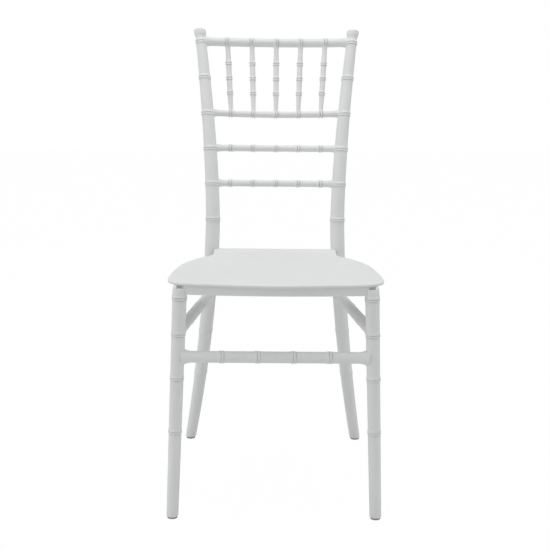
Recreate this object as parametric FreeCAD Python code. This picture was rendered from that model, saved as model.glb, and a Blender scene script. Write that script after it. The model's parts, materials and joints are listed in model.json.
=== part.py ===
import FreeCAD, Part
import math
import os

# Chiavari side chair in white moulded plastic. Round "bamboo" members have keyed tenons that plug into
# mortises in the posts and legs. A moulded seat is pegged into the front legs and sits over the seat rails.
# Millimetres: X across, Y towards the back, Z up. While the chair is modelled the front legs stand on
# Y = 0. The finished pieces are moved so that the origin lies on the floor under the middle of the chair.

V = FreeCAD.Vector
ACROSS = V(1, 0, 0)
BACK = V(0, 1, 0)
UP = V(0, 0, 1)

# Fits
fit = 0.12                # clearance all round a tenon in its mortise
end_gap = 0.35            # clearance at a tenon's end, and under the seat
cope_gap = 0.15           # clearance of a member's notched shoulder on its carrier
cope_angle = 17.0         # each flank of a notched shoulder leans this far, in degrees
slope_step = 1.0          # the posts' direction is taken over this much height, up and down

# Rear posts: each sweeps in from the foot to a waist and out again to the finial
crown_height = 910.0      # top of the finials
foot_x = 187.5            # half spacing of the posts on the floor
waist_x = 131.7
crown_x = 164.5
waist_x_height = 515.0    # where the posts stand closest together
foot_y = 462.0            # how far the posts stand behind the front legs
waist_y = 366.0
crown_y = 476.0
waist_y_height = 465.0    # where the posts come furthest forward
post_bend = 1.62          # power of the sweep: 2 would be a parabola
post_foot_radius = 11.5
post_waist_radius = 15.0
post_neck_radius = 10.6
post_taper = 1.4          # power of the taper from the waist to the neck
low_post_nodes = [171.0, 271.0]         # nodes under the seat that carry nothing
waist_node_share = 0.516  # where the next node lies between the seat rails and the lowest back rail
post_node_half = 3.7      # half length of a node
node_rise = 1.0           # how far a node stands out from the stem
foot_bevel = 3.5          # height of the bevel round the foot of a post or leg
foot_bevel_depth = 2.0
foot_bend_height = 85.0   # the post's curve is followed here too, between the foot and the first node

# Finials: (distance below the crown, radius), above the top rail's node
finial_profile = [(17.0, 10.7), (8.5, 12.7), (3.0, 12.7), (0.0, 10.3)]

# Front legs: straight, splayed outwards
leg_foot_x = 191.0
leg_top_x = 174.0
leg_foot_radius = 11.2
leg_radius = 13.2         # just under the seat frame
leg_nodes = [170.0, 272.0, 355.0]
leg_node_half = 2.3
leg_node_rise = 1.0
leg_collar_drop = 23.3    # from the leg's top down to the node under its head
leg_head_profile = [(20.8, 12.9), (8.0, 11.9), (0.0, 10.0)]    # (distance below the top, radius)

# Foot glides
glide_height = 3.0
glide_inset = 1.6         # how much smaller than the foot it is pressed into
glide_key = (6.0, 6.0)    # section of its peg
glide_key_length = 12.0

# Back rails: each drop is from the post's node above to the node that carries the rail
top_rail_drop = 25.7      # from the crown
spindle_rail_drop = 149.1
upper_cross_drop = 72.6
lower_cross_drop = 72.9
back_bow = 15.0           # how far the rails bow backwards
top_rail_droop = 1.8      # how far the middle of a bowed rail hangs below its ends
spindle_rail_droop = 3.4
cross_rail_droop = 1.0
top_rail_radius = 9.2
cross_rail_radius = 6.8
rail_key = (7.0, 6.6)     # width and height of a back rail's tenon
rail_key_depth = 6.5
tenon_root = 6.0          # how far any tenon reaches back inside its own member
top_node_pitch = 52.4
spindle_node_pitch = 47.6
cross_node_pitch = 47.4

# Spindles
spindle_count = 5
spindle_radius = 5.4
spindle_key = (5.0, 4.4)
spindle_key_depth = 4.5

# Stretchers
front_stretcher_height = 311.6
front_stretcher_radius = 10.7
side_stretcher_front = 358.5            # height at the front leg
side_stretcher_back = 352.0             # height of the rear post's node that carries it
side_stretcher_radius = 10.6
stretcher_key = (9.0, 6.6)
stretcher_key_depth = 7.0

# Seat rails
front_rail_radius = 8.2
front_rail_bow = 11.0
front_rail_spans = 3
side_rail_radius = 6.6
rear_rail_radius = 8.0
seat_block_drop = 7.3     # from the legs' top to the middle of the post's straight stretch for the rails
seat_block_half = 11.5
seat_rail_key = (6.4, 7.0)
seat_rail_leg_stop = 7.0                # distance from the leg's axis to the end of a seat rail's tenon
seat_rail_post_stop = 8.6

# Seat
seat_edge_height = 451.0  # top of the seat's rim
seat_thickness = 5.4
seat_bevel = 1.6          # bevel round the top of the rim
seat_lip = 4.2            # height of the rounded lip along the rear edge
seat_lip_width = 22.0
seat_lip_crest = 10.0     # from the rear edge to the lip's crest
seat_lip_edge = 1.7       # height of the lip at the rear edge
seat_back_reach = 1.0     # from the posts' middle line back to the seat's rear edge
seat_front_y = -30.0
seat_half_outline = [(110.0, -20.3), (192.5, 7.5), (198.0, 62.0), (180.5, 198.0), (147.5, 275.0)]
post_notch_gap = 0.6
rib_depth = 11.0
rib_thickness = 2.4
rib_pitch_x = 78.0
rib_pitch_y = 96.0
rib_first_y = 80.0
rib_count = 3             # ribs each way
rib_rail_gap = 3.0
peg_key = (8.0, 8.0)      # section of the peg in a leg's head
peg_length = 9.0
saddle_length = 14.0      # along the rail
saddle_wall = 2.8
saddle_grip = 2.0         # how far a saddle reaches below the middle of its rail
rear_saddle_x = 62.0

# Windows in the front legs' heads, open to the seat's peg
window_width = 11.0
window_height = 5.2


# ---- heights that follow from the sizes above

leg_top_height = seat_edge_height - seat_thickness - end_gap
leg_collar_height = leg_top_height - leg_collar_drop
seat_block_height = leg_top_height - seat_block_drop
front_rail_height = leg_top_height - front_rail_radius
side_rail_height = leg_top_height - side_rail_radius
rear_rail_height = leg_top_height - rear_rail_radius

top_rail_height = crown_height - top_rail_drop
spindle_rail_height = top_rail_height - spindle_rail_drop
upper_cross_height = spindle_rail_height - upper_cross_drop
lower_cross_height = upper_cross_height - lower_cross_drop
waist_node_height = seat_block_height + (lower_cross_height - seat_block_height) * waist_node_share
high_node_height = (top_rail_height + spindle_rail_height) / 2


# ---- centrelines

def sweep(height, waist_height, foot, waist, crown):
    if height < waist_height:
        return waist + (foot - waist) * ((waist_height - height) / waist_height) ** post_bend
    return waist + (crown - waist) * ((height - waist_height) / (crown_height - waist_height)) ** post_bend


def post_point(height, side=1):
    x = sweep(height, waist_x_height, foot_x, waist_x, crown_x)
    y = sweep(height, waist_y_height, foot_y, waist_y, crown_y)
    return V(side * x, y, height)


def post_direction(height, side=1):
    return (post_point(height + slope_step, side) - post_point(height - slope_step, side)).normalize()


def post_radius(height):
    if height < waist_y_height:
        quarter = math.pi / 2 * height / waist_y_height
        return post_foot_radius + (post_waist_radius - post_foot_radius) * math.sin(quarter)
    share = (height - waist_y_height) / (crown_height - waist_y_height)
    return post_waist_radius - (post_waist_radius - post_neck_radius) * share ** post_taper


def leg_point(height, side=1):
    x = leg_foot_x + (leg_top_x - leg_foot_x) * height / leg_top_height
    return V(side * x, 0, height)


def leg_direction(side=1):
    return (leg_point(leg_top_height, side) - leg_point(0, side)).normalize()


def leg_stem_radius(height):
    """the leg's stems are straight, and each is a little thicker than the one below its node"""
    node = max([0.0] + [place for place in leg_nodes + [leg_collar_height] if place < height])
    return leg_foot_radius + (leg_radius - leg_foot_radius) * node / leg_top_height


# ---- general shapes

def hand(side):
    return "left" if side < 0 else "right"


def placed(origin, across, upright, along):
    return FreeCAD.Placement(origin, FreeCAD.Rotation(across, upright, along, "ZYX"))


def lofted(stations):
    """member with a skin ruled through circles given as (centre, direction, radius)"""
    rings = []
    for centre, direction, radius in stations:
        circle = Part.makeCircle(radius)
        circle.Placement = FreeCAD.Placement(centre, FreeCAD.Rotation(UP, direction))
        rings.append(Part.Wire(circle))
    return Part.makeLoft(rings, True, True)


def mitred(corners, radius):
    """rod that follows straight runs and is mitred where they meet"""
    circle = Part.makeCircle(radius, corners[0], corners[1] - corners[0])
    return Part.makePolygon(corners).makePipeShell([Part.Wire(circle)], True, False, 1)


def rod(start, end, radius):
    return Part.makeCylinder(radius, (end - start).Length, start, end - start)


def key(start, end, upright, section, clearance=0.0):
    """square-cornered bar from start to end: a tenon, or with a clearance the mortise for it"""
    along = (end - start).normalize()
    across = upright.cross(along).normalize()
    width, height = [size + 2 * clearance for size in section]
    reach = (end - start).Length + (end_gap if clearance else 0.0)
    bar = Part.makeBox(width, height, reach, V(-width / 2, -height / 2, 0))
    bar.Placement = placed(start, across, along.cross(across), along)
    return bar


def wedge(axis, towards, stations):
    """what a member's notched shoulder leaves free for its round carrier. Both flanks touch the
    carrier's outline, which is given as (centre, radius) pairs along its axis."""
    side = axis.cross(towards).normalize()
    out = side.cross(axis)
    slope = math.radians(cope_angle)
    sheets = []
    for centre, radius in stations:
        clear = radius + cope_gap
        spread = 3 * clear
        flank = (clear - spread * math.sin(slope)) / math.cos(slope)
        corners = [(clear / math.cos(slope), 0), (flank, spread), (-spread, spread), (-spread, -spread),
                   (flank, -spread), (clear / math.cos(slope), 0)]
        sheets.append(Part.makePolygon([centre + out * along + side * across for along, across in corners]))
    return Part.makeLoft(sheets, True, True)


class Joint:
    """where a member meets its carrier: the member stops at the carrier's notch and its tenon goes on.
    The mouth is where the member's middle line enters the carrier."""

    def __init__(self, axis, outline, mouth, towards, depth, upright, section):
        out = (towards - mouth).normalize()
        self.notch = wedge(axis, out, outline)
        self.ends = (mouth + out * tenon_root, mouth - out * depth, upright, section)


def plug(nodes, member, carrier, joint):
    """seats a member's end in its carrier"""
    nodes[member] = nodes[member].cut(joint.notch).fuse(key(*joint.ends))
    nodes[carrier] = nodes[carrier].cut(key(*joint.ends, clearance=fit))


def aimed(centre, towards, radius):
    """mouth of a member that points at its carrier's middle line"""
    return centre + (towards - centre).normalize() * radius


def evenly(axis, centre, radius, reach):
    """outline of a straight stretch of a carrier"""
    return [(centre - axis * reach, radius), (centre + axis * reach, radius)]


# ---- rear posts

def post_blank(side):
    """post with its nodes and finial before its mortises are cut"""
    nodes = low_post_nodes + [side_stretcher_back, waist_node_height, lower_cross_height, upper_cross_height,
                              spindle_rail_height, high_node_height, top_rail_height]
    node = ((-post_node_half, 0.0), (0.0, node_rise), (post_node_half, 0.0))
    block = ((-seat_block_half, 0.0), (seat_block_half, 0.0))
    bend = ((0.0, 0.0),)
    knuckles = [(height, node) for height in nodes] + [(seat_block_height, block), (foot_bend_height, bend)]
    stations = [(post_point(glide_height, side), UP, post_foot_radius - foot_bevel_depth),
                (post_point(glide_height + foot_bevel, side), UP, post_foot_radius)]
    for height, rings in sorted(knuckles):
        axis = post_direction(height, side)
        for offset, rise in rings:
            stations.append((post_point(height, side) + axis * offset, axis, post_radius(height) + rise))
    for below, radius in finial_profile:
        height = crown_height - below
        stations.append((post_point(height, side), post_direction(height, side), radius))
    return lofted(stations)


def node_mouth(height, side, towards):
    """where a member enters a post's node: on its ridge"""
    centre = post_point(height, side)
    axis = post_direction(height, side)
    reach = towards - centre
    inward = (reach - axis * reach.dot(axis)).normalize()
    return centre + inward * (post_radius(height) + node_rise)


def node_joint(height, side, mouth, towards, member_radius, depth, section):
    """joint in a post's node"""
    axis = post_direction(height, side)
    radius = post_radius(height) + node_rise
    outline = evenly(axis, post_point(height, side), radius, member_radius + radius)
    return Joint(axis, outline, mouth, towards, depth + node_rise, axis, section)


def seat_block_point(height, side=1):
    """point of a post's middle line in its straight stretch for the seat rails"""
    axis = post_direction(seat_block_height, side)
    return post_point(seat_block_height, side) + axis * ((height - seat_block_height) / axis.z)


def block_joint(height, side, towards, member_radius):
    """joint of a seat rail in a post's straight stretch"""
    axis = post_direction(seat_block_height, side)
    centre = seat_block_point(height, side)
    radius = post_radius(seat_block_height)
    return Joint(axis, evenly(axis, centre, radius, member_radius + radius), aimed(centre, towards, radius),
                 towards, radius - seat_rail_post_stop, axis, seat_rail_key)


# ---- front legs

def leg_blank(side):
    """front leg before its mortises are cut"""
    direction = leg_direction(side)
    stations = [(leg_point(glide_height, side), UP, leg_foot_radius - foot_bevel_depth),
                (leg_point(glide_height + foot_bevel, side), direction, leg_foot_radius)]
    for height in leg_nodes + [leg_collar_height]:
        centre = leg_point(height, side)
        below = leg_stem_radius(height)
        above = leg_stem_radius(height + leg_node_half)
        stations += [(centre - direction * leg_node_half, direction, below),
                     (centre, direction, above + leg_node_rise)]
        if height < leg_collar_height:
            stations.append((centre + direction * leg_node_half, direction, above))
    top = leg_point(leg_top_height, side)
    stations += [(top - direction * below, direction, radius) for below, radius in leg_head_profile]
    return lofted(stations)


def leg_joint(height, side, towards, member_radius, stand_off):
    """joint of a stretcher on a leg's stem, or with a stand-off on its node"""
    axis = leg_direction(side)
    centre = leg_point(height, side)
    radius = leg_stem_radius(height)
    outline = evenly(axis, centre, radius + stand_off, member_radius + leg_radius)
    mouth = aimed(centre, towards, radius)
    return Joint(axis, outline, mouth, towards, stretcher_key_depth, axis, stretcher_key)


def head_joint(height, side, towards):
    """joint of a seat rail on a leg's tapered head"""
    axis = leg_direction(side)
    top = leg_point(leg_top_height, side)
    outline = [(top - axis * below, radius) for below, radius in leg_head_profile]
    outline.append((top + axis * end_gap, leg_head_profile[-1][1]))
    mouth = aimed(leg_point(height, side), towards, leg_radius)
    return Joint(axis, outline, mouth, towards, leg_radius - seat_rail_leg_stop, axis, seat_rail_key)


# ---- bowed rails

def bowed(left, right, bow, places):
    """corners of a bowed rail between two ends: on a parabola at each place along X"""
    return [left] + [V(x, left.y, left.z) + bow * (1 - (x / right.x) ** 2) for x in places] + [right]


def on_run(corners, x):
    """point of a bowed rail's middle line, and the direction of its straight run there"""
    run = max(index for index in range(len(corners) - 1) if index == 0 or corners[index].x <= x)
    start, end = corners[run], corners[run + 1]
    return start + (end - start) * ((x - start.x) / (end.x - start.x)), (end - start).normalize()


def back_rail_corners(height, droop, places):
    """a back rail's middle line, from mouth to mouth"""
    bow = V(0, back_bow, -droop)
    mouths = [node_mouth(height, side, post_point(height, -side) + bow) for side in (-1, 1)]
    return bowed(mouths[0], mouths[1], bow, places)


def node_place(index, pitch):
    return pitch * (index - (spindle_count - 1) / 2)


def midway_places(pitch):
    """places midway between a rail's nodes"""
    return [pitch * (index - spindle_count / 2) for index in range(1, spindle_count)]


def rail_joint(corners, x, towards, radius):
    """joint of a spindle on a back rail"""
    centre, axis = on_run(corners, x)
    return Joint(axis, evenly(axis, centre, radius, 2 * spindle_radius), aimed(centre, towards, radius),
                 towards, spindle_key_depth, BACK, spindle_key)


def front_rail_corners():
    left = leg_point(front_rail_height, -1)
    right = leg_point(front_rail_height, 1)
    span = (right.x - left.x) / front_rail_spans
    return bowed(left, right, BACK * -front_rail_bow,
                 [left.x + span * index for index in range(1, front_rail_spans)])


# ---- seat

def seat_outline(inset, height):
    """outline of the seat: on each side a spline from the front's middle to the post and a hollow round
    the post, and a straight back between the hollows"""
    rim = [V(0, seat_front_y, 0)] + [V(x, y, 0) for x, y in seat_half_outline]
    points = []
    for index, point in enumerate(rim):
        before = rim[index - 1] if index else V(-rim[1].x, rim[1].y, 0)
        after = rim[min(index + 1, len(rim) - 1)]
        points.append(point + UP.cross((after - before).normalize()) * inset)
    post = seat_block_point(seat_edge_height)
    clear = post_radius(seat_block_height) + post_notch_gap + inset
    back = seat_back_reach - inset
    entry = V(post.x - inset, post.y - math.sqrt(clear ** 2 - inset ** 2), 0)
    hollow = V(post.x - clear * math.sqrt(0.5), post.y - clear * math.sqrt(0.5), 0)
    corner = V(post.x - math.sqrt(clear ** 2 - back ** 2), post.y + back, 0)
    spline = Part.BSplineCurve()
    spline.interpolate(points + [entry], InitialTangent=ACROSS,
                       FinalTangent=(entry - points[-1]).normalize(), Scale=False)
    right = [spline.toShape(), Part.Arc(entry, hollow, corner).toShape()]
    left = [edge.mirror(V(0, 0, 0), ACROSS) for edge in reversed(right)]
    outline = Part.Wire(right + [Part.makeLine(corner, V(-corner.x, corner.y, 0))] + left)
    outline.translate(V(0, 0, height))
    return outline


def seat_plate():
    bottom = seat_edge_height - seat_thickness
    return Part.makeLoft([seat_outline(0.0, bottom), seat_outline(0.0, seat_edge_height - seat_bevel),
                          seat_outline(seat_bevel, seat_edge_height)], True, True)


def seat_lip_bar():
    """rounded lip that stiffens the rear edge between the posts"""
    edge = seat_outline(seat_bevel, 0).Edges[2].BoundBox
    half = edge.XMax
    back = edge.YMax
    base = seat_edge_height - seat_thickness / 2
    start = V(-half, back - seat_lip_width, seat_edge_height)
    crest = V(-half, back - seat_lip_crest, seat_edge_height + seat_lip)
    end = V(-half, back, seat_edge_height + seat_lip_edge)
    low_end = V(-half, end.y, base)
    low_start = V(-half, start.y, base)
    section = Part.Wire([Part.Arc(start, crest, end).toShape(), Part.makeLine(end, low_end),
                         Part.makeLine(low_end, low_start), Part.makeLine(low_start, start)])
    return Part.Face(section).extrude(V(2 * half, 0, 0))


def seat_ribs():
    """grid of ribs that stays clear of the seat rails"""
    low = leg_top_height + end_gap - rib_depth
    depth = rib_depth + seat_thickness / 2
    half = rib_thickness / 2
    front_y = front_rail_radius + rib_rail_gap
    length = seat_block_point(rear_rail_height).y - rear_rail_radius - rib_rail_gap - front_y
    narrow = seat_block_point(side_rail_height)
    wide = leg_point(side_rail_height)
    inset = side_rail_radius + rib_rail_gap

    ribs = []
    for index in range(rib_count):
        x = rib_pitch_x * (index - (rib_count - 1) / 2)
        ribs.append(Part.makeBox(rib_thickness, length, depth, V(x - half, front_y, low)))
        y = rib_first_y + index * rib_pitch_y
        share = (y + half - wide.y) / (narrow.y - wide.y)
        reach = wide.x + (narrow.x - wide.x) * share - inset
        ribs.append(Part.makeBox(2 * reach, rib_thickness, depth, V(-reach, y - half, low)))
    return ribs


def saddle(centre, along, radius, sides=(-1, 1)):
    """walls under the seat that hold it over a rail"""
    across = UP.cross(along).normalize()
    height = saddle_grip + radius + end_gap + seat_thickness / 2
    walls = []
    for side in sides:
        middle = side * (radius + fit + saddle_wall / 2)
        wall = Part.makeBox(saddle_length, saddle_wall, height,
                            V(-saddle_length / 2, middle - saddle_wall / 2, -saddle_grip))
        wall.Placement = placed(centre, along, across, UP)
        walls.append(wall)
    return walls


def seat_peg(side):
    """start, end, upright and section of the peg that goes into a leg's head"""
    head = leg_point(leg_top_height, side)
    axis = leg_direction(side)
    return head + axis * seat_thickness / 2, head - axis * peg_length, BACK, peg_key


# ---- assembly: each step adds its pieces to the nodes and cuts their carriers

def add_uprights(nodes):
    """rear posts and front legs, each with a glide pressed into its foot"""
    glides = []
    for side in (-1, 1):
        for name, blank, foot, radius in (
                ("rear_post_", post_blank(side), post_point(glide_height, side), post_foot_radius),
                ("front_leg_", leg_blank(side), leg_point(glide_height, side), leg_foot_radius)):
            peg = (foot, foot + UP * glide_key_length, BACK, glide_key)
            disc = rod(V(foot.x, foot.y, 0), foot, radius - glide_inset)
            glides.append(disc.fuse(key(*peg)))
            nodes[name + hand(side)] = blank.cut(key(*peg, clearance=fit))
    nodes["foot_glides"] = Part.makeCompound(glides)


def add_back(nodes):
    """four bowed rails between the posts, and the spindles between the upper two"""
    plain_places = (-cross_node_pitch, cross_node_pitch)
    spindle_places = midway_places(spindle_node_pitch)
    rails = {"top_rail": (top_rail_height, top_rail_droop, top_rail_radius, midway_places(top_node_pitch)),
             "spindle_rail": (spindle_rail_height, spindle_rail_droop, cross_rail_radius, spindle_places),
             "upper_cross_rail": (upper_cross_height, cross_rail_droop, cross_rail_radius, plain_places),
             "lower_cross_rail": (lower_cross_height, cross_rail_droop, cross_rail_radius, plain_places)}
    lines = {}
    for name, (height, droop, radius, places) in rails.items():
        corners = back_rail_corners(height, droop, places)
        lines[name] = corners
        inward = [(corners[1] - corners[0]).normalize(), (corners[-2] - corners[-1]).normalize()]
        ends = [corners[0] - inward[0] * rail_key_depth, corners[-1] - inward[1] * rail_key_depth]
        nodes[name] = mitred([ends[0]] + corners[1:-1] + [ends[1]], radius)
        for side, mouth, inner in ((-1, corners[0], corners[1]), (1, corners[-1], corners[-2])):
            joint = node_joint(height, side, mouth, inner, radius, rail_key_depth, rail_key)
            plug(nodes, name, "rear_post_" + hand(side), joint)

    for index in range(spindle_count):
        name = "spindle_%d" % (index + 1)
        low_x = node_place(index, spindle_node_pitch)
        high_x = node_place(index, top_node_pitch)
        foot = on_run(lines["spindle_rail"], low_x)[0]
        head = on_run(lines["top_rail"], high_x)[0]
        nodes[name] = rod(foot, head, spindle_radius)
        plug(nodes, name, "spindle_rail", rail_joint(lines["spindle_rail"], low_x, head, cross_rail_radius))
        plug(nodes, name, "top_rail", rail_joint(lines["top_rail"], high_x, foot, top_rail_radius))


def add_stretchers(nodes):
    ends = {side: leg_point(front_stretcher_height, side) for side in (-1, 1)}
    nodes["front_stretcher"] = rod(ends[-1], ends[1], front_stretcher_radius)
    for side in (-1, 1):
        leg = "front_leg_" + hand(side)
        plug(nodes, "front_stretcher", leg,
             leg_joint(front_stretcher_height, side, ends[-side], front_stretcher_radius, 0.0))

        name = "side_stretcher_" + hand(side)
        front = leg_point(side_stretcher_front, side)
        mouth = node_mouth(side_stretcher_back, side, front)
        inner_end = mouth - (front - mouth).normalize() * stretcher_key_depth
        nodes[name] = rod(front, inner_end, side_stretcher_radius)
        plug(nodes, name, leg,
             leg_joint(side_stretcher_front, side, mouth, side_stretcher_radius, leg_node_rise))
        plug(nodes, name, "rear_post_" + hand(side),
             node_joint(side_stretcher_back, side, mouth, front, side_stretcher_radius, stretcher_key_depth,
                        stretcher_key))


def add_seat_rails(nodes):
    """the frame under the seat: a bowed front rail between the legs, and straight side and rear rails"""
    corners = front_rail_corners()
    rear_ends = {side: seat_block_point(rear_rail_height, side) for side in (-1, 1)}
    nodes["seat_rail_front"] = mitred(corners, front_rail_radius)
    nodes["seat_rail_rear"] = rod(rear_ends[-1], rear_ends[1], rear_rail_radius)
    for side, inner in ((-1, corners[1]), (1, corners[-2])):
        leg = "front_leg_" + hand(side)
        post = "rear_post_" + hand(side)
        plug(nodes, "seat_rail_front", leg, head_joint(front_rail_height, side, inner))
        plug(nodes, "seat_rail_rear", post,
             block_joint(rear_rail_height, side, rear_ends[-side], rear_rail_radius))

        name = "seat_rail_" + hand(side)
        front = leg_point(side_rail_height, side)
        back = seat_block_point(side_rail_height, side)
        nodes[name] = rod(front, back, side_rail_radius)
        plug(nodes, name, leg, head_joint(side_rail_height, side, back))
        plug(nodes, name, post, block_joint(side_rail_height, side, front, side_rail_radius))


def add_seat(nodes):
    """seat with its ribs, saddles and pegs, and the windows in the legs' heads that show the pegs"""
    pieces = [seat_lip_bar()] + seat_ribs()
    for side in (-1, 1):
        front = leg_point(side_rail_height, side)
        back = seat_block_point(side_rail_height, side)
        rear = V(side * rear_saddle_x, seat_block_point(rear_rail_height).y, rear_rail_height)
        pieces += saddle((front + back) * 0.5, (back - front).normalize(), side_rail_radius)
        pieces += saddle(rear, ACROSS, rear_rail_radius, sides=(-1,))
        pieces.append(key(*seat_peg(side)))

        leg = "front_leg_" + hand(side)
        corner = V(leg_point(leg_top_height, side).x - window_width / 2, -2 * leg_radius,
                   leg_top_height - window_height)
        window = Part.makeBox(window_width, 2 * leg_radius, window_height + end_gap, corner)
        nodes[leg] = nodes[leg].cut(key(*seat_peg(side), clearance=fit)).cut(window)
    nodes["seat_shell"] = seat_plate().multiFuse(pieces)


def main():
    os.makedirs("parts", exist_ok=True)
    nodes = {}
    add_uprights(nodes)
    add_back(nodes)
    add_stretchers(nodes)
    add_seat_rails(nodes)
    add_seat(nodes)
    box = Part.makeCompound(list(nodes.values())).optimalBoundingBox(False, False)
    for name, shape in nodes.items():
        shape.translate(V(0, -(box.YMin + box.YMax) / 2, -box.ZMin))
        if len(shape.Solids) == 1:
            shape = shape.Solids[0]
        shape.exportStep("parts/%s.step" % name)
        print(name, len(shape.Solids), round(shape.Volume), shape.isValid())


main()
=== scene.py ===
import bpy
import bmesh
import json
import math
from mathutils import Matrix, Vector

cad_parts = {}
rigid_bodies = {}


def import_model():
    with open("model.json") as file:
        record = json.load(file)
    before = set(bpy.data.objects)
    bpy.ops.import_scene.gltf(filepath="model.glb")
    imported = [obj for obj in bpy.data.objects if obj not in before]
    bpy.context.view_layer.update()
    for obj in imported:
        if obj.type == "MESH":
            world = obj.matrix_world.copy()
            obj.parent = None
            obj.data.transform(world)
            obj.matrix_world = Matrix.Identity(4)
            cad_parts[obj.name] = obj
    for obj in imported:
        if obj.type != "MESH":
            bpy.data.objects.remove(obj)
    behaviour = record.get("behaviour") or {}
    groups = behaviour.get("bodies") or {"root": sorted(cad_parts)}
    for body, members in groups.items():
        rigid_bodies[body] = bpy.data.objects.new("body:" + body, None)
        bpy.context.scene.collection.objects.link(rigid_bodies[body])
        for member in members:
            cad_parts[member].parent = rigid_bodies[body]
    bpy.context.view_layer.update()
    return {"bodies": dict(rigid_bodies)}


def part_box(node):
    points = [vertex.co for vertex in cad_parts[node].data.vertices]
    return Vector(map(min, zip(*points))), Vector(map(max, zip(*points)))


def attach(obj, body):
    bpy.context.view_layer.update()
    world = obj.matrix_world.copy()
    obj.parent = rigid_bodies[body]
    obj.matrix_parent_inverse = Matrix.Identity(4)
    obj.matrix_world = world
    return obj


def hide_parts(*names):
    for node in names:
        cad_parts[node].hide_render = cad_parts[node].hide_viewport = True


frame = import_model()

# all lengths are in metres; heights are measured from the floor
sideways = Vector((1, 0, 0))
backwards = Vector((0, 1, 0))
upwards = Vector((0, 0, 1))
hands = ((-1, "left"), (1, "right"))
quarterTurn = math.pi / 2
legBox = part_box("front_leg_left")
legPlane = (legBox[0][1] + legBox[1][1]) / 2     # the front legs stand on this Y
glideHeight = 0.003                              # the feet's soles rest on glides of this height
bodyName = list(frame["bodies"])[0]


# materials

class Sock:
    # an output socket that takes part in Python sums
    def __init__(self, graph, socket):
        self.graph = graph
        self.socket = socket

    def maths(self, operation, first, second):
        return self.graph.add("ShaderNodeMath", {"operation": operation}, {0: first, 1: second})

    def __add__(self, other):
        return self.maths("ADD", self, other)

    def __sub__(self, other):
        return self.maths("SUBTRACT", self, other)

    def __rsub__(self, other):
        return self.maths("SUBTRACT", other, self)

    def __mul__(self, other):
        return self.maths("MULTIPLY", self, other)

    __radd__ = __add__
    __rmul__ = __mul__


class Graph:
    # builds the nodes of a material or a world
    def __init__(self, owner):
        owner.use_nodes = True
        self.owner = owner
        self.tree = owner.node_tree
        self.tree.nodes.clear()

    def add(self, kind, settings=None, inputs=None, output=0):
        node = self.tree.nodes.new(kind)
        for key, value in (settings or {}).items():
            setattr(node, key, value)
        for key, value in (inputs or {}).items():
            if isinstance(value, Sock):
                self.tree.links.new(value.socket, node.inputs[key])
            else:
                node.inputs[key].default_value = value
        return Sock(self, node.outputs[output])

    def finish(self, kind, surface):
        end = self.tree.nodes.new(kind)
        self.tree.links.new(surface.socket, end.inputs["Surface"])
        return self.owner


objectPlace = 3     # Texture Coordinate's Object output
cameraRay = 0       # Light Path's Is Camera Ray output


def mixColour(graph, factor, first, second):
    # inputs 6 and 7 and output 2 of a Mix node are its colours
    colours = {0: factor, 6: first + (1,), 7: second + (1,)}
    return graph.add("ShaderNodeMix", {"data_type": "RGBA"}, colours, 2)


def makePlastic(look):
    # satin moulded plastic: faint flow marks in tone and gloss, over a fine spark-eroded grain
    graph = Graph(bpy.data.materials.new(look["name"]))
    place = graph.add("ShaderNodeTexCoord", output=objectPlace)
    flow = graph.add("ShaderNodeTexNoise", None,
                     {"Vector": place, "Scale": look["flowScale"], "Detail": 3.0, "Roughness": 0.55})
    grain = graph.add("ShaderNodeTexNoise", None,
                      {"Vector": place, "Scale": look["grainScale"], "Detail": 2.0, "Roughness": 0.6})
    pits = graph.add("ShaderNodeTexVoronoi", {"feature": "SMOOTH_F1"},
                     {"Vector": place, "Scale": look["pitShare"] * look["grainScale"],
                      "Smoothness": 0.6})
    tone = mixColour(graph, flow, look["shade"], look["tint"])
    rough = look["roughness"] + (flow - 0.5) * look["flowGloss"] + (grain - 0.5) * look["grainGloss"]
    height = grain * look["grainHeight"] + pits * look["pitHeight"]
    normal = graph.add("ShaderNodeBump", None, {"Strength": look["bumpStrength"],
                                                "Distance": look["bumpDepth"], "Height": height})
    shader = graph.add("ShaderNodeBsdfPrincipled", None,
                       {"Base Color": tone, "Roughness": rough, "Normal": normal, "IOR": look["ior"]})
    return graph.finish("ShaderNodeOutputMaterial", shader)


framePlasticLook = {"name": "framePlastic", "shade": (0.765, 0.772, 0.772), "tint": (0.815, 0.82, 0.818),
                    "roughness": 0.52, "flowGloss": 0.10, "grainGloss": 0.06, "ior": 1.40,
                    "flowScale": 14.0, "grainScale": 1400.0, "pitShare": 0.35,
                    "grainHeight": 0.7, "pitHeight": 0.5, "bumpStrength": 0.16, "bumpDepth": 0.00012}
seatPlasticLook = dict(framePlasticLook, name="seatPlastic", roughness=0.56, bumpStrength=0.24,
                       grainScale=1100.0)
glidePlasticLook = dict(framePlasticLook, name="glidePlastic", shade=(0.30, 0.30, 0.30),
                        tint=(0.36, 0.36, 0.36), roughness=0.6)
framePlastic = makePlastic(framePlasticLook)
seatPlastic = makePlastic(seatPlasticLook)
glidePlastic = makePlastic(glidePlasticLook)
print("materials made")


# meshes and objects

weldDistance = 1e-7
outlineWeld = 1e-5                  # for the seat's outline, where its two lines meet
levelSlack = 1e-6                   # points this near a plane lie on it
ringDigits = 7                      # decimals that tell a member's rings apart
creaseAngle = math.radians(50)      # sharper edges of a turned member stay sharp


def addObject(name, data):
    item = bpy.data.objects.new(name, data)
    bpy.context.scene.collection.objects.link(item)
    return item


def handOver(mesh, name, node, material=framePlastic):
    # a finished piece that stands for a node of the frame
    piece = addObject(name, mesh)
    mesh.materials.clear()
    mesh.materials.append(material)
    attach(piece, bodyName)
    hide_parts(node)


def plainMesh(shape, name):
    mesh = bpy.data.meshes.new(name)
    shape.to_mesh(mesh)
    shape.free()
    return mesh


def smoothMesh(shape, name):
    for face in shape.faces:
        face.smooth = True
    return plainMesh(shape, name)


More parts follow.
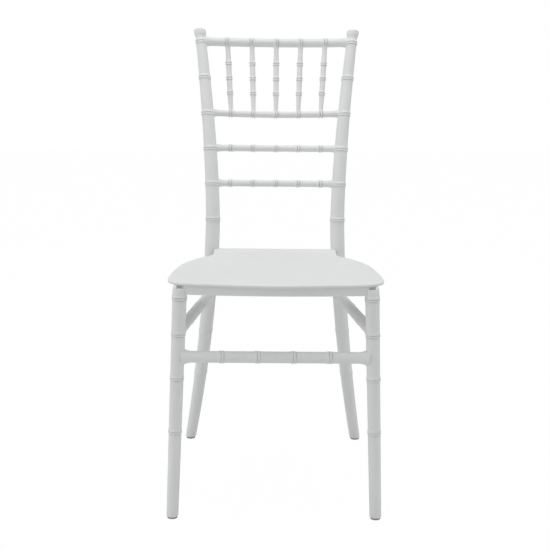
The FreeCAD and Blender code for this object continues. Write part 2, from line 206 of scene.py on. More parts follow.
def evaluatedMesh(item):
    # the mesh of an object or curve with its modifiers applied
    bpy.context.view_layer.update()
    depsgraph = bpy.context.evaluated_depsgraph_get()
    return bpy.data.meshes.new_from_object(item.evaluated_get(depsgraph))


def addBox(shape, low, high, turn=0.0):
    # box between two corners, turned about the vertical through its middle
    low, high = Vector(low), Vector(high)
    corners = bmesh.ops.create_cube(shape, size=1.0)["verts"]
    bmesh.ops.scale(shape, vec=high - low, verts=corners)
    bmesh.ops.rotate(shape, verts=corners, matrix=Matrix.Rotation(turn, 3, "Z"))
    bmesh.ops.translate(shape, vec=(low + high) / 2, verts=corners)
    return corners


def roundEdges(shape, edges, size, segments, clamp=False):
    bmesh.ops.bevel(shape, geom=edges, offset=size, offset_type="OFFSET", affect="EDGES",
                    segments=segments, profile=0.5, material=-1, clamp_overlap=clamp)


# turned members

# Their looks share some values. A node's beads stand beadPitch apart and rise by beadRise up to
# a groove, grooveWidth wide and groove deep, on a swelling that rises by swell within swellLength.
# shadedSide is 1 where the beads grow along the member and -1 where they grow against it.
# ringStep is the distance between plain rings, and sides is the number of faces round the member.

def nodeShape(look, strength, side):
    # two beads side by side on a low swelling, each with a sharp groove at its shaded end
    pitch, width, reach = look["beadPitch"], look["grooveWidth"], look["swellLength"]
    steps = 6
    shape = []
    for start in (-pitch, 0.0):
        for step in range(steps + 1):
            share = step / steps
            rise = look["beadRise"] * math.sin(quarterTurn * share)
            shape.append((start + (pitch - width) * share, rise))
        shape.append((start + pitch - width / 2, -look["groove"]))
    shape.append((pitch, 0.0))
    for offset in ((pitch + reach) / 2, reach):
        shape += [(-offset, 0.0), (offset, 0.0)]
    ring = []
    for offset, rise in sorted(shape):
        swelling = look["swell"] * (0.5 + 0.5 * math.cos(math.pi * offset / reach))
        ring.append((side * offset, strength * (rise + swelling)))
    return ring


def nodeStrength(place, look):
    # the lower nodes of some members are fainter
    if "faintBelow" in look and place < look["faintBelow"]:
        return look["faintStrength"]
    return 1.0


def memberProfile(start, end, radiusAt, nodes, look):
    # (distance, radius) pairs of a member with nodes and evenly spaced rings between them
    marks = []
    for place in nodes:
        # the back rails run both ways from their middle, and their halves mirror each other
        side = -look["shadedSide"] if place < 0 else look["shadedSide"]
        shape = nodeShape(look, nodeStrength(place, look), side)
        marks += [(place + offset, rise) for offset, rise in shape]
    count = max(2, round((end - start) / look["ringStep"]))
    for index in range(count + 1):
        distance = start + (end - start) * index / count
        if all(abs(distance - place) > look["swellLength"] for place in nodes):
            marks.append((distance, 0))
    return [(distance, radiusAt(distance) + rise) for distance, rise in sorted(marks)
            if start <= distance <= end]


def sweepMember(name, profile, place, sides):
    # turn the profile about Z, then lay each ring at its place along the member's own line
    shape = bmesh.new()
    points = [shape.verts.new((0, 0, profile[0][0]))]
    points += [shape.verts.new((radius, 0, distance)) for distance, radius in profile]
    points.append(shape.verts.new((0, 0, profile[-1][0])))
    edges = [shape.edges.new(pair) for pair in zip(points, points[1:])]
    bmesh.ops.spin(shape, geom=points + edges, cent=(0, 0, 0), axis=(0, 0, 1), angle=math.tau,
                   steps=sides, use_merge=True, use_duplicate=False)
    bmesh.ops.remove_doubles(shape, verts=shape.verts, dist=weldDistance)
    rings = {}
    for vert in shape.verts:
        distance = round(vert.co.z, ringDigits)
        if distance not in rings:
            rings[distance] = place(distance)
        centre, across, forward = rings[distance]
        vert.co = centre + across * vert.co.x + forward * vert.co.y
    bmesh.ops.recalc_face_normals(shape, faces=shape.faces)
    for edge in shape.edges:
        edge.smooth = edge.calc_face_angle(0.0) < creaseAngle
    return smoothMesh(shape, name)


def ringAxes(along, reference):
    across = reference.cross(along).normalized()
    return across, along.cross(across).normalized()


def straightPlace(start, end):
    along = (end - start).normalized()
    across, forward = ringAxes(along, upwards if abs(along.y) > abs(along.z) else backwards)
    return lambda distance: (start + along * distance, across, forward)


def smoothStep(value):
    value = min(1.0, max(0.0, value))
    return value * value * (3 - 2 * value)


def roundedEnd(distance, radius, depth, steps=5):
    # quarter-round edge of the end that lies at distance, as pairs that go into the member
    pairs = []
    for step in range(steps, -1, -1):
        turn = quarterTurn * step / steps
        pairs.append((distance + depth * (1 - math.sin(turn)), radius - depth * (1 - math.cos(turn))))
    return pairs


def flareAt(gap, look):
    # what a member's radius gains at this gap from the member that carries it
    nearness = 1 - gap / look["flareLength"]
    return look["flare"] * min(1.0, max(0.0, nearness)) ** 2


# rear posts

railHeights = {"top_rail": 0.8843, "spindle_rail": 0.7352, "upper_cross_rail": 0.6626,
               "lower_cross_rail": 0.5897}
freeNodes = (0.171, 0.271, 0.352, 0.51625, 0.80975)     # the posts' nodes where no back rail enters
# the post's line and its radius run from the foot over the waist to the crown
postLook = {"crown": 0.9097, "footX": 0.1875, "waistX": 0.1317, "crownX": 0.1645, "waistXHeight": 0.515,
            "footY": 0.462, "waistY": 0.366, "crownY": 0.476, "waistYHeight": 0.465, "bend": 1.62,
            "footRadius": 0.0115, "waistRadius": 0.0150, "neckRadius": 0.0106, "taper": 1.4,
            "nodes": (*freeNodes, *railHeights.values()),
            "faintBelow": 0.40, "faintStrength": 0.6, "shadedSide": -1,
            "swell": 0.0005, "swellLength": 0.0080, "beadPitch": 0.0046, "grooveWidth": 0.0008,
            "beadRise": 0.0010, "groove": 0.0010, "ringStep": 0.008, "sides": 44,
            "sole": glideHeight, "soleRound": 0.0030, "levelling": 0.03, "sideTilt": 0.15}
finialLook = {"length": 0.0195, "knobRadius": 0.0105, "knobRound": 0.0022, "roundSteps": 6,
              "flat": 0.0050,
              "flare": ((-0.0190, 0.01066), (-0.0170, 0.01064), (-0.0155, 0.01072), (-0.0140, 0.01100),
                        (-0.0125, 0.01150), (-0.0110, 0.01206), (-0.0094, 0.01250), (-0.0076, 0.01274),
                        (-0.0050, 0.01278))}
axisReach = 0.001       # a curved member's direction is read this far to either side


def sweep(height, waistHeight, foot, waist, crown):
    # one coordinate of the post's line, which bends both ways from its waist
    if height < waistHeight:
        return waist + (foot - waist) * ((waistHeight - height) / waistHeight) ** postLook["bend"]
    share = (height - waistHeight) / (postLook["crown"] - waistHeight)
    return waist + (crown - waist) * share ** postLook["bend"]


def postPoint(height, side):
    look = postLook
    x = sweep(height, look["waistXHeight"], look["footX"], look["waistX"], look["crownX"])
    y = sweep(height, look["waistYHeight"], look["footY"], look["waistY"], look["crownY"])
    return Vector((side * x, legPlane + y, height))


def postAxis(height, side):
    return (postPoint(height + axisReach, side) - postPoint(height - axisReach, side)).normalized()


def postRadius(height):
    look, waist = postLook, postLook["waistYHeight"]
    if height < waist:
        share = math.sin(quarterTurn * height / waist)
        return look["footRadius"] + (look["waistRadius"] - look["footRadius"]) * share
    share = ((height - waist) / (look["crown"] - waist)) ** look["taper"]
    return look["waistRadius"] - (look["waistRadius"] - look["neckRadius"]) * share


def postPlace(side):
    def place(height):
        # the sole lies flat on the floor, and the rings tilt only a little with the sideways lean
        level = smoothStep((height - postLook["sole"]) / postLook["levelling"])
        along = upwards.lerp(postAxis(height, side), level)
        along.x *= postLook["sideTilt"]
        across, forward = ringAxes(along.normalized(), backwards)
        return postPoint(height, side), across, forward
    return place


def finialShape():
    # neck, flared knob with a rounded shoulder, and an almost flat top
    look = finialLook
    shape = list(look["flare"])
    for step in range(look["roundSteps"] + 1):
        turn = quarterTurn * step / look["roundSteps"]
        shape.append((-look["knobRound"] + look["knobRound"] * math.sin(turn),
                      look["knobRadius"] + look["knobRound"] * math.cos(turn)))
    shape.append((0.0, look["flat"]))
    return [(postLook["crown"] + offset, radius) for offset, radius in shape]


def makePost(side, hand):
    look = postLook
    sole = roundedEnd(look["sole"], look["footRadius"], look["soleRound"])
    stem = memberProfile(look["sole"] + look["soleRound"], look["crown"] - finialLook["length"],
                         postRadius, look["nodes"], look)
    mesh = sweepMember("post_" + hand, sole + stem + finialShape(), postPlace(side), look["sides"])
    handOver(mesh, "post_" + hand, "rear_post_" + hand)


for side, hand in hands:
    makePost(side, hand)
print("rear posts made")


# front legs

legLook = {"footX": 0.191, "topX": 0.174, "top": 0.44525, "footRadius": 0.0111, "radius": 0.0132,
           "nodes": (0.170, 0.272, 0.355, 0.42195), "shadedSide": -1,
           "swell": 0.0002, "swellLength": 0.0066, "beadPitch": 0.0046, "grooveWidth": 0.0011,
           "beadRise": 0.0009, "groove": 0.0018, "ringStep": 0.01, "sides": 44,
           "sole": glideHeight, "soleRound": 0.0028, "levelling": 0.02, "headLength": 0.0163,
           "headShape": ((0.0150, 0.0132), (0.0110, 0.0131), (0.0080, 0.0128), (0.0050, 0.0123),
                         (0.0028, 0.0117), (0.0012, 0.0109), (0.0, 0.0101))}
# the window's depth is measured from its face, which lies in front of the leg's axis
windowLook = {"width": 0.011, "height": 0.0052, "depth": 0.009, "face": 0.0113, "frontRoom": 0.02,
              "topRoom": 0.002}


def legPoint(height, side):
    x = legLook["footX"] + (legLook["topX"] - legLook["footX"]) * height / legLook["top"]
    return Vector((side * x, legPlane, height))


def legRadius(height):
    return legLook["footRadius"] + (legLook["radius"] - legLook["footRadius"]) * height / legLook["top"]


def legPlace(side):
    along = (legPoint(legLook["top"], side) - legPoint(0, side)).normalized()

    def place(height):
        # the sole lies flat on the floor
        level = smoothStep((height - legLook["sole"]) / legLook["levelling"])
        across, forward = ringAxes(upwards.lerp(along, level).normalized(), backwards)
        return legPoint(height, side), across, forward
    return place


def cutWindow(mesh, side, hand):
    # open a small window in the front of the leg's head
    look = windowLook
    middle = legPoint(legLook["top"], side)
    low = (middle.x - look["width"] / 2, legPlane - look["frontRoom"], legLook["top"] - look["height"])
    high = (middle.x + look["width"] / 2, legPlane - look["face"] + look["depth"],
            legLook["top"] + look["topRoom"])
    block = bmesh.new()
    addBox(block, low, high)
    cutter = addObject("windowCutter_" + hand, plainMesh(block, "windowCutter_" + hand))
    target = addObject("window_" + hand, mesh)
    boolean = target.modifiers.new("window", "BOOLEAN")
    boolean.operation = "DIFFERENCE"
    boolean.solver = "EXACT"
    boolean.object = cutter
    result = evaluatedMesh(target)
    for item in (target, cutter):
        bpy.data.objects.remove(item)
    return result


def makeLeg(side, hand):
    look = legLook
    sole = roundedEnd(look["sole"], look["footRadius"], look["soleRound"])
    stem = memberProfile(look["sole"] + look["soleRound"], look["top"] - look["headLength"],
                         legRadius, look["nodes"], look)
    head = [(look["top"] - below, radius) for below, radius in look["headShape"]]
    mesh = sweepMember("leg_" + hand, sole + stem + head, legPlace(side), look["sides"])
    mesh = cutWindow(mesh, side, hand)
    handOver(mesh, "leg_" + hand, "front_leg_" + hand)


for side, hand in hands:
    makeLeg(side, hand)
print("front legs made")


# back rails

railLook = {"nodeRise": 0.0010, "bow": 0.0094, "setBack": 0.0032, "buried": 0.009, "shadedSide": 1,
            "flare": 0.0018, "flareLength": 0.014,
            "swell": 0.0003, "swellLength": 0.0085, "beadPitch": 0.0052, "grooveWidth": 0.0013,
            "beadRise": 0.0015, "groove": 0.0022, "ringStep": 0.004, "sides": 36}
crossRail = {"radius": 0.0068, "pitch": 0.0474, "droop": 0.0010}
backRails = {"top_rail": {"radius": 0.0091, "pitch": 0.0524, "droop": 0.0018},
             "spindle_rail": {"radius": 0.0068, "pitch": 0.0476, "droop": 0.0034},
             "upper_cross_rail": dict(crossRail),
             "lower_cross_rail": dict(crossRail)}
for name, rail in backRails.items():
    rail["height"] = railHeights[name]
spindleCount = 5


def nodePlaces(pitch, count):
    # evenly spaced places about zero
    return [pitch * (index - (count - 1) / 2) for index in range(count)]


def railMouth(height, towards):
    # where a member enters the right post's node
    centre, axis = postPoint(height, 1), postAxis(height, 1)
    reach = towards - centre
    outwards = (reach - axis * reach.dot(axis)).normalized()
    return centre + outwards * (postRadius(height) + railLook["nodeRise"])


def railPoint(rail, x):
    bow = Vector((0, railLook["bow"], -rail["droop"]))
    mouth = railMouth(rail["height"], postPoint(rail["height"], -1) + bow)
    return Vector((x, mouth.y + railLook["setBack"], mouth.z)) + bow * (1 - (x / mouth.x) ** 2)


def railPlace(rail):
    def place(x):
        along = (railPoint(rail, x + axisReach) - railPoint(rail, x - axisReach)).normalized()
        across, forward = ringAxes(along, backwards)
        return railPoint(rail, x), across, forward
    return place


def makeBackRail(name, rail):
    shoulder = postPoint(rail["height"], 1).x - postRadius(rail["height"])
    end = shoulder + railLook["buried"]

    def radiusAt(x):
        return rail["radius"] + flareAt(shoulder - abs(x), railLook)

    profile = memberProfile(-end, end, radiusAt, nodePlaces(rail["pitch"], spindleCount), railLook)
    mesh = sweepMember(name, profile, railPlace(rail), railLook["sides"])
    handOver(mesh, "back_" + name, name)


for name, rail in backRails.items():
    makeBackRail(name, rail)
print("back rails made")


# spindles

spindleLook = {"radius": 0.0057, "footRadius": 0.0043, "headRadius": 0.0050, "buried": 0.004,
               "nodes": (0.275, 0.505, 0.735), "shadedSide": -1, "flare": 0.0010, "flareLength": 0.006,
               "swell": 0.0003, "swellLength": 0.0064, "beadPitch": 0.0049, "grooveWidth": 0.0008,
               "beadRise": 0.0011, "groove": 0.0010, "ringStep": 0.003, "sides": 28}


def makeSpindle(index):
    # from the spindle rail to the top rail, thinner beyond its first and last nodes
    look, lowRail, highRail = spindleLook, backRails["spindle_rail"], backRails["top_rail"]
    foot, head = [railPoint(rail, nodePlaces(rail["pitch"], spindleCount)[index])
                  for rail in (lowRail, highRail)]
    low = lowRail["radius"]
    high = (head - foot).length - highRail["radius"]
    first, last = look["nodes"][0], look["nodes"][-1]

    def radiusAt(distance):
        share = (distance - low) / (high - low)
        radius = look["radius"]
        if share < first:
            radius += (look["footRadius"] - radius) * (1 - share / first)
        if share > last:
            radius += (look["headRadius"] - radius) * (share - last) / (1 - last)
        return radius + flareAt(min(distance - low, high - distance), look)

    nodes = [low + (high - low) * share for share in look["nodes"]]
    profile = memberProfile(low - look["buried"], high + look["buried"], radiusAt, nodes, look)
    name = "spindle_%d" % (index + 1)
    mesh = sweepMember(name, profile, straightPlace(foot, head), look["sides"])
    handOver(mesh, "bar_" + name, name)


for index in range(spindleCount):
    makeSpindle(index)
print("spindles made")


# stretchers

barLook = {"shadedSide": 1, "flare": 0.0035, "flareLength": 0.013, "buried": 0.006,
           "swell": 0.0003, "swellLength": 0.0085, "beadPitch": 0.0054, "grooveWidth": 0.0009,
           "beadRise": 0.0011, "groove": 0.0012, "ringStep": 0.006, "sides": 40}
sideBarLook = dict(barLook, beadRise=0.0004, groove=0.0002, flare=0.0020, flareLength=0.009)
stretcherLook = {"frontHeight": 0.3116, "frontRadius": 0.0107, "frontPitch": 0.066, "frontNodes": 4,
                 "sideFront": 0.3585, "sideBack": 0.352, "sideRadius": 0.0106,
                 "sideNodes": (0.31, 0.645)}


def makeBar(name, start, end, startGap, endGap, radius, nodes, look):
    # straight bar between two carriers' axes, with a flare where it meets each of them;
    # a gap reaches from a carrier's axis to its surface
    length = (end - start).length

    def radiusAt(distance):
        return radius + flareAt(min(distance - startGap, length - endGap - distance), look)

    profile = memberProfile(startGap - look["buried"], length - endGap + look["buried"], radiusAt,
                            nodes, look)
    mesh = sweepMember(name, profile, straightPlace(start, end), look["sides"])
    handOver(mesh, "bar_" + name, name)


def makeFrontStretcher():
    look = stretcherLook
    left, right = [legPoint(look["frontHeight"], side) for side, hand in hands]
    gap = legRadius(look["frontHeight"])
    middle = (right - left).length / 2
    nodes = [middle + place for place in nodePlaces(look["frontPitch"], look["frontNodes"])]
    makeBar("front_stretcher", left, right, gap, gap, look["frontRadius"], nodes, barLook)


def makeSideStretcher(side, hand):
    look = stretcherLook
    front = legPoint(look["sideFront"], side)
    mouth = railMouth(look["sideBack"], legPoint(look["sideFront"], 1))
    mouth.x *= side
    back = mouth + (mouth - front).normalized() * postRadius(mouth.z)
    nodes = [(back - front).length * share for share in look["sideNodes"]]
    makeBar("side_stretcher_" + hand, front, back, legRadius(front.z), postRadius(back.z),
            look["sideRadius"], nodes, sideBarLook)


makeFrontStretcher()
for side, hand in hands:
    makeSideStretcher(side, hand)
print("stretchers made")


# seat rails

seatRailLook = {"top": legLook["top"], "sideRadius": 0.0066, "sideEndRadius": 0.0034,
                "thinFrom": 0.080, "thinShare": 0.7, "intoLeg": 0.007, "intoPost": 0.0094,
                "ringStep": 0.006, "sides": 32, "rearRadius": 0.0080, "rearGap": 0.0154}
rearRailLook = dict(barLook, flare=0.0015, flareLength=0.008)
apronLook = {"high": 0.4455, "low": 0.4289, "front": 0.0086, "back": 0.0082, "bow": 0.011,
             "intoLeg": 0.006, "round": 0.0020, "roundSegments": 5, "step": 0.008}


def makeSideRail(side, hand):
    # round bar that thins towards the post with its underside kept level
    look = seatRailLook
    height = look["top"] - look["sideRadius"]
    start, end = legPoint(height, side), postPoint(height, side)
    length = (end - start).length
    line = straightPlace(start, end)

    def radiusAt(distance):
        run = distance - length + look["thinFrom"]
        share = smoothStep(run / (look["thinFrom"] * look["thinShare"]))
        return look["sideRadius"] + (look["sideEndRadius"] - look["sideRadius"]) * share

    def place(distance):
        centre, across, forward = line(distance)
        return centre - upwards * (look["sideRadius"] - radiusAt(distance)), across, forward

    profile = memberProfile(look["intoLeg"], length - look["intoPost"], radiusAt, [], look)
    mesh = sweepMember("seat_rail_" + hand, profile, place, look["sides"])
    handOver(mesh, "bar_seat_rail_" + hand, "seat_rail_" + hand)


def makeRearRail():
    look = seatRailLook
    left, right = [postPoint(look["top"] - look["rearRadius"], side) for side, hand in hands]
    makeBar("seat_rail_rear", left, right, look["rearGap"], look["rearGap"], look["rearRadius"], [],
            rearRailLook)


def makeApron():
    # flat-faced rail under the seat's front edge, bowed forwards
    look = apronLook
    half = legPoint(look["low"], 1).x - look["intoLeg"]
    shape = bmesh.new()
    addBox(shape, (-half, -look["front"], look["low"]), (half, look["back"], look["high"]))
    lengthwise = [edge for edge in shape.edges if abs(edge.verts[0].co.x - edge.verts[1].co.x) > half]
    roundEdges(shape, lengthwise, look["round"], look["roundSegments"])
    count = int(half / look["step"])
    for index in range(-count + 1, count):
        bmesh.ops.bisect_plane(shape, geom=shape.verts[:] + shape.edges[:] + shape.faces[:],
                               dist=levelSlack, plane_co=(half * index / count, 0, 0),
                               plane_no=sideways)
    for vert in shape.verts:
        vert.co.y += legPlane - look["bow"] * (1 - (vert.co.x / half) ** 2)
    bmesh.ops.recalc_face_normals(shape, faces=shape.faces)
    handOver(smoothMesh(shape, "seat_rail_front"), "bar_seat_rail_front", "seat_rail_front")


for side, hand in hands:
    makeSideRail(side, hand)
makeRearRail()
makeApron()
print("seat rails made")


# seat

# halfOutline is the right side, from front to back, with y measured from the legs' plane
seatShape = {"top": 0.451, "thickness": 0.0054, "rimRound": 0.0022, "rimSegments": 5, "frontY": -0.030,
             "halfOutline": ((0.0693, -0.0250), (0.110, -0.0203), (0.1506, -0.0150), (0.1732, -0.0080),
                             (0.1861, 0.0000), (0.1937, 0.0100), (0.1978, 0.0250), (0.1985, 0.0500),
                             (0.1966, 0.0900), (0.1925, 0.1320), (0.1860, 0.1760), (0.1806, 0.1980),
                             (0.1720, 0.2220), (0.1610, 0.2450), (0.1495, 0.2670), (0.1413, 0.2764),
                             (0.1345, 0.2860), (0.1302, 0.2985), (0.1285, 0.3150)),
             "postGap": 0.0006, "backReach": 0.001, "hollowSteps": 10,
             "dip": 0.0008, "dishY": 0.165, "dishRadius": 0.19, "dishEdge": 1.15,
             "lip": 0.0034, "lipWidth": 0.034, "lipCrest": 0.010, "lipFall": 0.55, "lipStep": 0.002,
             "gridStep": 0.008, "gridHalf": 0.2}
# the rooms keep the ribs off the axes of the rails round them
underLook = {"ribDepth": 0.011, "ribThickness": 0.0024, "ribX": 0.078, "ribY": (0.080, 0.176, 0.272),
             "frontRoom": 0.0112, "rearRoom": 0.019, "sideRoom": 0.0097, "overlap": 0.001,
             "round": 0.0006, "roundSegments": 2, "saddleDrop": 0.002, "saddleHalfWall": 0.0014,
             "saddleHalfLength": 0.007, "sideSaddleX": 0.0082, "rearSaddleX": 0.062,
             "rearSaddleY": 0.0095}
seatPost = postPoint(seatShape["top"] - seatShape["thickness"] / 2, 1)
seatClear = postRadius(seatPost.z) + seatShape["postGap"]
seatBack = seatPost.y + seatShape["backReach"]
levelNormal = 0.999     # a face lies flat if its normal rises by more than this


def smoothLine(points):
    # points close together on a smooth curve through the given ones
    curve = bpy.data.curves.new("smoothLine", "CURVE")
    curve.resolution_u = 6      # steps from each point to the next
    spline = curve.splines.new("BEZIER")
    spline.bezier_points.add(len(points) - 1)
    for target, (x, y) in zip(spline.bezier_points, points):
        target.co = (x, y, 0)
        target.handle_left_type = target.handle_right_type = "AUTO"
    item = addObject("smoothLine", curve)
    line = [vertex.co.copy() for vertex in evaluatedMesh(item).vertices]
    bpy.data.objects.remove(item)
    return line


def seatOutline():
    # closed outline: a smooth line round the front and sides, and a hollow round each post
    look = seatShape
    edgeX = look["halfOutline"][-1][0]
    entry = seatPost.y - math.sqrt(seatClear ** 2 - (seatPost.x - edgeX) ** 2)
    right = [(x, legPlane + y) for x, y in look["halfOutline"]] + [(edgeX, entry)]
    left = [(-x, y) for x, y in reversed(right)]
    line = smoothLine(left + [(0, legPlane + look["frontY"])] + right)
    first = math.atan2(entry - seatPost.y, edgeX - seatPost.x) + math.tau
    last = math.pi - math.asin(look["backReach"] / seatClear)
    rightHollow = []
    for step in range(1, look["hollowSteps"] + 1):
        turn = first + (last - first) * step / look["hollowSteps"]
        rightHollow.append(Vector((seatPost.x + seatClear * math.cos(turn),
                                   seatPost.y + seatClear * math.sin(turn), 0)))
    leftHollow = [Vector((-point.x, point.y, 0)) for point in reversed(rightHollow)]
    return line + rightHollow + leftHollow


def seatRise(x, y):
    # height of the seat's surface over its flat plane: a shallow dish, and a lip along the rear edge
    look = seatShape
    crest = seatBack - look["lipCrest"]
    offMiddle = math.hypot(x / look["dishRadius"], (y - legPlane - look["dishY"]) / look["dishRadius"])
    dish = -look["dip"] * smoothStep(look["dishEdge"] - offMiddle)
    rise = smoothStep((y - seatBack + look["lipWidth"]) / (look["lipWidth"] - look["lipCrest"]))
    fall = 1 - look["lipFall"] * smoothStep((y - crest) / look["lipCrest"])
    return dish + look["lip"] * rise * fall


def makePlate():
    # flat plate with the seat's outline and rounded rims
    look = seatShape
    plate = bmesh.new()
    for point in seatOutline():
        plate.verts.new(point)
    bmesh.ops.remove_doubles(plate, verts=plate.verts, dist=outlineWeld)
    face = bmesh.ops.contextual_create(plate, geom=plate.verts[:])["faces"]
    bmesh.ops.translate(plate, vec=upwards * (look["top"] - look["thickness"]), verts=plate.verts)
    grown = bmesh.ops.extrude_face_region(plate, geom=face)["geom"]
    raised = [item for item in grown if isinstance(item, bmesh.types.BMVert)]
    bmesh.ops.translate(plate, vec=upwards * look["thickness"], verts=raised)
    bmesh.ops.recalc_face_normals(plate, faces=plate.faces)
    rim = [edge for edge in plate.edges if abs(edge.verts[0].co.z - edge.verts[1].co.z) < levelSlack]
    roundEdges(plate, rim, look["rimRound"], look["rimSegments"], clamp=True)
    return plate


def cutFlats(plate, spot, way):
    # divide the plate's two flat sides where a plane crosses them
    flats = [face for face in plate.faces if abs(face.normal.z) > levelNormal]
    edges = dict.fromkeys(edge for face in flats for edge in face.edges)
    verts = dict.fromkeys(vert for face in flats for vert in face.verts)
    bmesh.ops.bisect_plane(plate, geom=[*flats, *edges, *verts], dist=levelSlack, plane_co=spot,
                           plane_no=way)


def gridSpots(low, high):
    step = seatShape["gridStep"]
    return [low + step * index for index in range(1, int((high - low) / step) + 1)]


def shapeTop(plate):
    # a grid on the plate, finer along the lip, lets its upper side follow the dish and the lip
    look = seatShape
    lipRows = round(look["lipWidth"] / look["lipStep"])
    rows = gridSpots(legPlane + look["frontY"], seatBack)
    rows += [seatBack - look["lipWidth"] + look["lipStep"] * index for index in range(lipRows)]
    for x in gridSpots(-look["gridHalf"], look["gridHalf"]):
        cutFlats(plate, sideways * x, sideways)
    for y in rows:
        cutFlats(plate, backwards * y, backwards)
    middle = look["top"] - look["thickness"] / 2
    for vert in plate.verts:
        if vert.co.z > middle:
            vert.co.z += seatRise(vert.co.x, vert.co.y)


def addRib(shape, low, high, turn=0.0):
    # box with softened edges
    corners = addBox(shape, low, high, turn)
    edges = [edge for edge in shape.edges if edge.verts[0] in corners]
    roundEdges(shape, edges, underLook["round"], underLook["roundSegments"])


def addUnderside(shape):
    # stiffening ribs, and the saddles that hold the seat over its side and rear rails
    look = underLook
    under = seatShape["top"] - seatShape["thickness"]
    low, high = under - look["ribDepth"], under + look["overlap"]
    half = look["ribThickness"] / 2
    front, back = legPlane + look["frontRoom"], seatPost.y - look["rearRoom"]
    for x in nodePlaces(look["ribX"], 3):
        addRib(shape, (x - half, front, low), (x + half, back, high))
    wide, narrow, length = legLook["topX"], seatPost.x, seatPost.y - legPlane
    for y in look["ribY"]:
        reach = wide + (narrow - wide) * y / length - look["sideRoom"]
        addRib(shape, (-reach, legPlane + y - half, low), (reach, legPlane + y + half, high))
    low = seatRailLook["top"] - seatRailLook["sideRadius"] - look["saddleDrop"]
    wall, run = look["saddleHalfWall"], look["saddleHalfLength"]
    lean = math.atan2(wide - narrow, length)
    for side, hand in hands:
        y = (legPlane + seatPost.y) / 2
        for offset in (-look["sideSaddleX"], look["sideSaddleX"]):
            x = side * (wide + narrow) / 2 + offset
            addRib(shape, (x - wall, y - run, low), (x + wall, y + run, high), side * lean)
        x, y = side * look["rearSaddleX"], seatPost.y - look["rearSaddleY"]
        addRib(shape, (x - run, y - wall, low), (x + run, y + wall, high))


def makeSeat():
    shape = makePlate()
    shapeTop(shape)
    addUnderside(shape)
    handOver(smoothMesh(shape, "seat"), "seat_top", "seat_shell", seatPlastic)


makeSeat()
print("seat made")


# foot glides

glideShape = {"inset": 0.0016, "round": 0.0008, "grip": 0.004, "sides": 36}


def makeGlide(name, foot, footRadius):
    # disc that stands on the floor and goes up into the foot
    look = glideShape
    radius = footRadius - look["inset"]
    profile = roundedEnd(0.0, radius, look["round"]) + [(glideHeight + look["grip"], radius)]
    spot = Vector((foot.x, foot.y, 0))
    mesh = sweepMember(name, profile, straightPlace(spot, spot + upwards), look["sides"])
    handOver(mesh, name, "foot_glides", glidePlastic)


for side, hand in hands:
    makeGlide("glide_rear_" + hand, postPoint(glideHeight, side), postLook["footRadius"])
for side, hand in hands:
    makeGlide("glide_front_" + hand, legPoint(glideHeight, side), legLook["footRadius"])
print("foot glides made")


# studio

cameraLook = {"x": -0.0185, "distance": 2.000, "height": 0.840, "pan": -0.468, "pitch": 10.62,
              "roll": 0.53, "focalPixels": 1127.0, "framePixels": 550.0, "sensor": 36.0}
lampLook = {"leftLight": {"spot": (-3.8, -1.2, 1.8), "aim": (0, 0, 0.5), "size": 2.4, "power": 34},
            "rightLight": {"spot": (3.8, -1.2, 1.6), "aim": (0, 0, 0.5), "size": 2.4, "power": 18},
            "topLight": {"spot": (0.0, -0.2, 4.4), "aim": (0, 0, 0.4), "size": 3.0, "power": 80}}
worldLook = {"glow": (0.985, 0.995, 1.0, 1), "strength": 0.44}
floorLook = {"dark": (0.81, 0.81, 0.81), "light": (0.85, 0.85, 0.85), "mottleScale": 3.0,
             "roughness": 0.9, "whiteShare": 0.99, "halfWidth": 9.0}
plainWhite = {"Color": (1, 1, 1, 1), "Strength": 1.0}


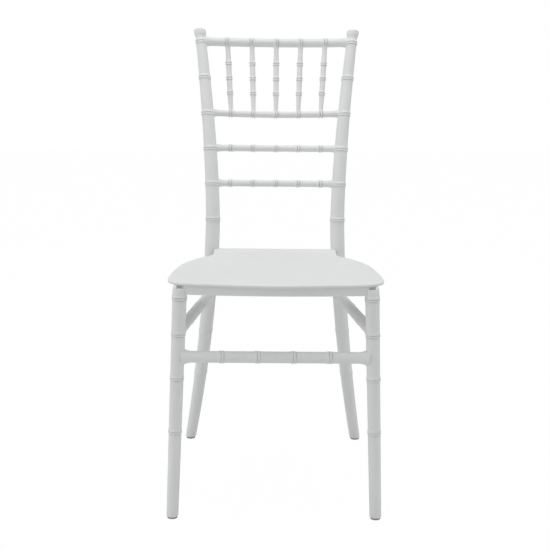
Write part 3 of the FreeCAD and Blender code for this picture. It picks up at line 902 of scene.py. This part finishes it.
def makeCamera():
    look = cameraLook
    camera = bpy.data.cameras.new("camera")
    camera.sensor_width = look["sensor"]
    camera.lens = look["focalPixels"] / look["framePixels"] * look["sensor"]
    stand = Matrix.Translation((look["x"], legPlane - look["distance"], look["height"]))
    pan = Matrix.Rotation(math.radians(look["pan"]), 4, "Z")
    pitch = Matrix.Rotation(math.radians(90 - look["pitch"]), 4, "X")
    roll = Matrix.Rotation(math.radians(look["roll"]), 4, "Z")
    item = addObject("camera", camera)
    item.matrix_world = stand @ pan @ pitch @ roll
    bpy.context.scene.camera = item


def makeLamp(name, look):
    lamp = bpy.data.lights.new(name, "AREA")
    lamp.shape = "DISK"
    lamp.size = look["size"]
    lamp.energy = look["power"]
    aim = (Vector(look["aim"]) - Vector(look["spot"])).to_track_quat("-Z", "Y")
    addObject(name, lamp).matrix_world = Matrix.Translation(look["spot"]) @ aim.to_matrix().to_4x4()


def makeWorld():
    # a dim glow lights the chair, and the camera sees plain white
    look = worldLook
    graph = Graph(bpy.data.worlds.new("studio"))
    glow = graph.add("ShaderNodeBackground", None, {"Color": look["glow"], "Strength": look["strength"]})
    white = graph.add("ShaderNodeBackground", None, plainWhite)
    ray = graph.add("ShaderNodeLightPath", output=cameraRay)
    surface = graph.add("ShaderNodeMixShader", None, {0: ray, 1: glow, 2: white})
    bpy.context.scene.world = graph.finish("ShaderNodeOutputWorld", surface)


def makeFloor():
    # pale floor that the camera sees almost white
    look = floorLook
    graph = Graph(bpy.data.materials.new("studioFloor"))
    place = graph.add("ShaderNodeTexCoord", output=objectPlace)
    mottle = graph.add("ShaderNodeTexNoise", None,
                       {"Vector": place, "Scale": look["mottleScale"], "Detail": 2.0})
    tone = mixColour(graph, mottle, look["dark"], look["light"])
    matt = graph.add("ShaderNodeBsdfPrincipled", None,
                     {"Base Color": tone, "Roughness": look["roughness"]})
    white = graph.add("ShaderNodeEmission", None, plainWhite)
    ray = graph.add("ShaderNodeLightPath", output=cameraRay)
    surface = graph.add("ShaderNodeMixShader", None, {0: ray * look["whiteShare"], 1: matt, 2: white})
    floor = bmesh.new()
    bmesh.ops.create_grid(floor, x_segments=1, y_segments=1, size=look["halfWidth"])
    mesh = plainMesh(floor, "floor")
    mesh.materials.append(graph.finish("ShaderNodeOutputMaterial", surface))
    addObject("floor", mesh)


makeCamera()
for name, look in lampLook.items():
    makeLamp(name, look)
makeWorld()
makeFloor()
bpy.context.scene.view_settings.view_transform = "Standard"
print("studio made")
